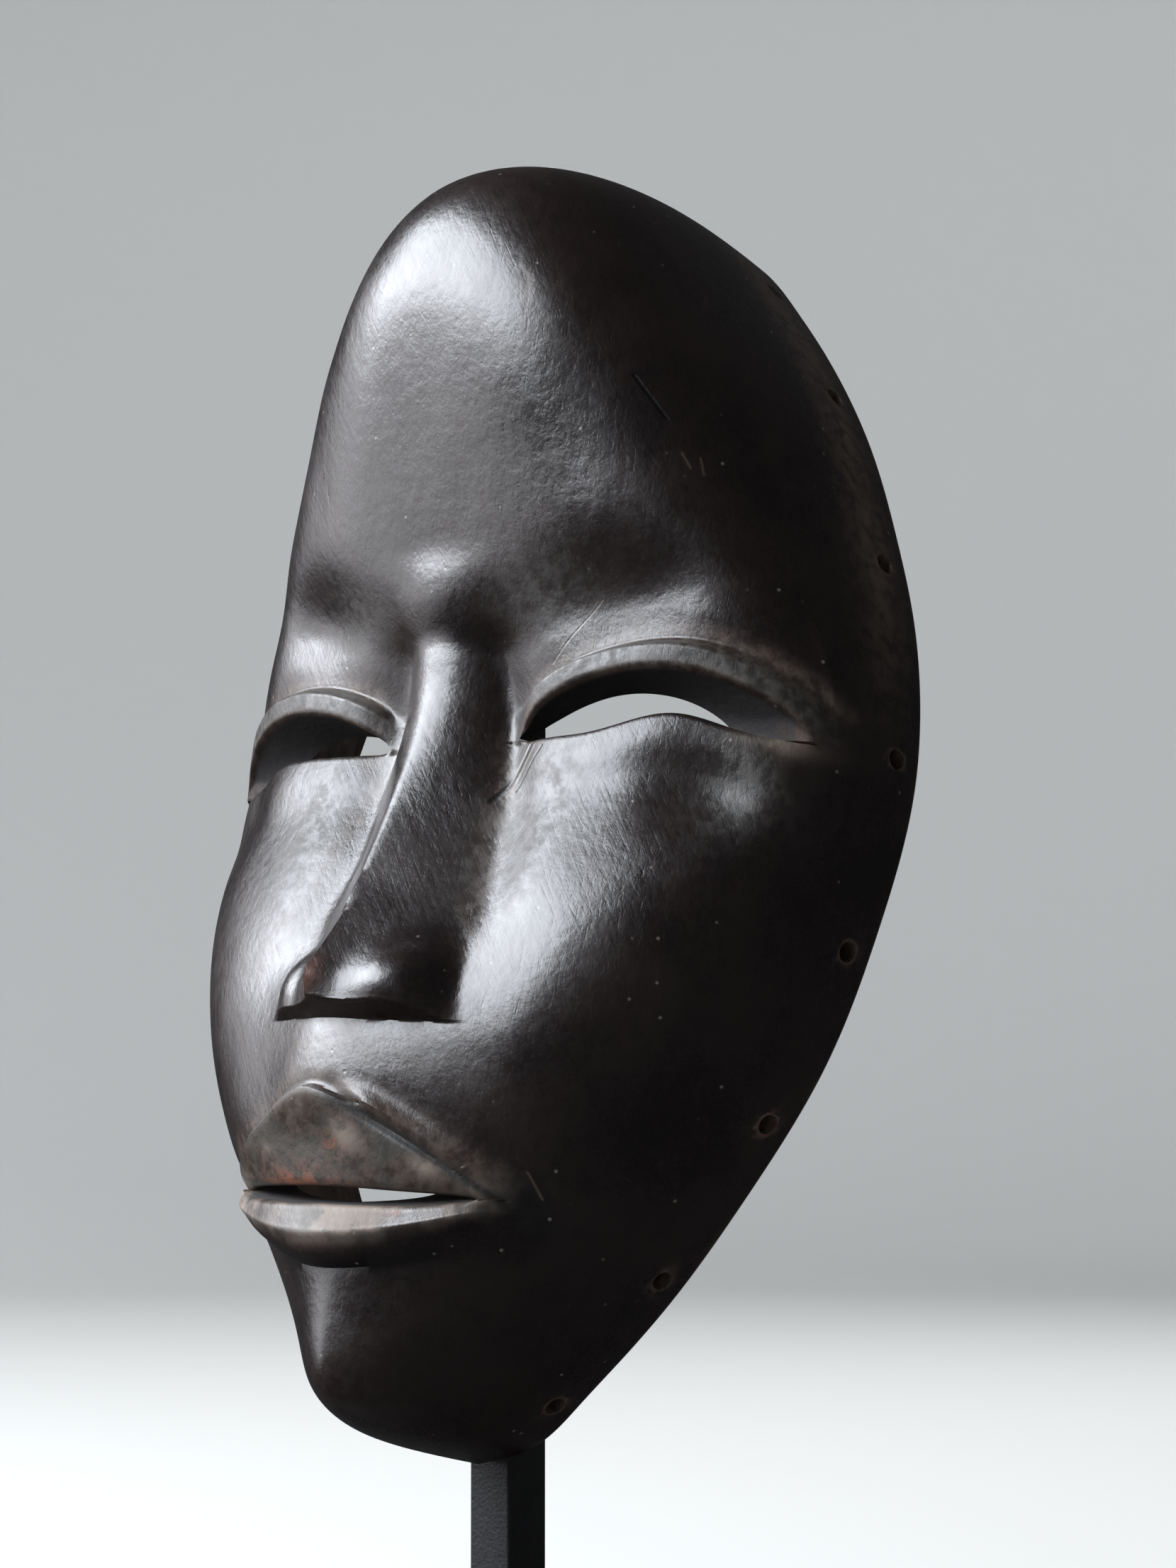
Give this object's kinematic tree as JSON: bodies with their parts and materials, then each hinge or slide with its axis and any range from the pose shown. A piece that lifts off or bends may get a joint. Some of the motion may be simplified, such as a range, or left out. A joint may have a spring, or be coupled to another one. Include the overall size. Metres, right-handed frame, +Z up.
{
  "type": "dan mask on a stand",
  "caption": "Carved hardwood face mask with a high forehead, slit eyes and parted lips, hollow behind, leaning on a square steel post that rises from a flat square base.",
  "frame": {"origin": "middle of the base's underside", "axes": "+Z up, the face looks along -Y and leans back, +X to the viewer's right"},
  "size_m": [0.154, 0.11, 0.3178],
  "materials": {
    "carved_wood": "near-black hand-polished patina, brown where it is worn",
    "post_steel": "blackened, slightly mottled",
    "base_steel": "blackened, satin"
  },
  "bodies": {
    "root": {"mask": "carved_wood", "stand_post": "post_steel", "stand_base": "base_steel"}
  },
  "joints": []
}
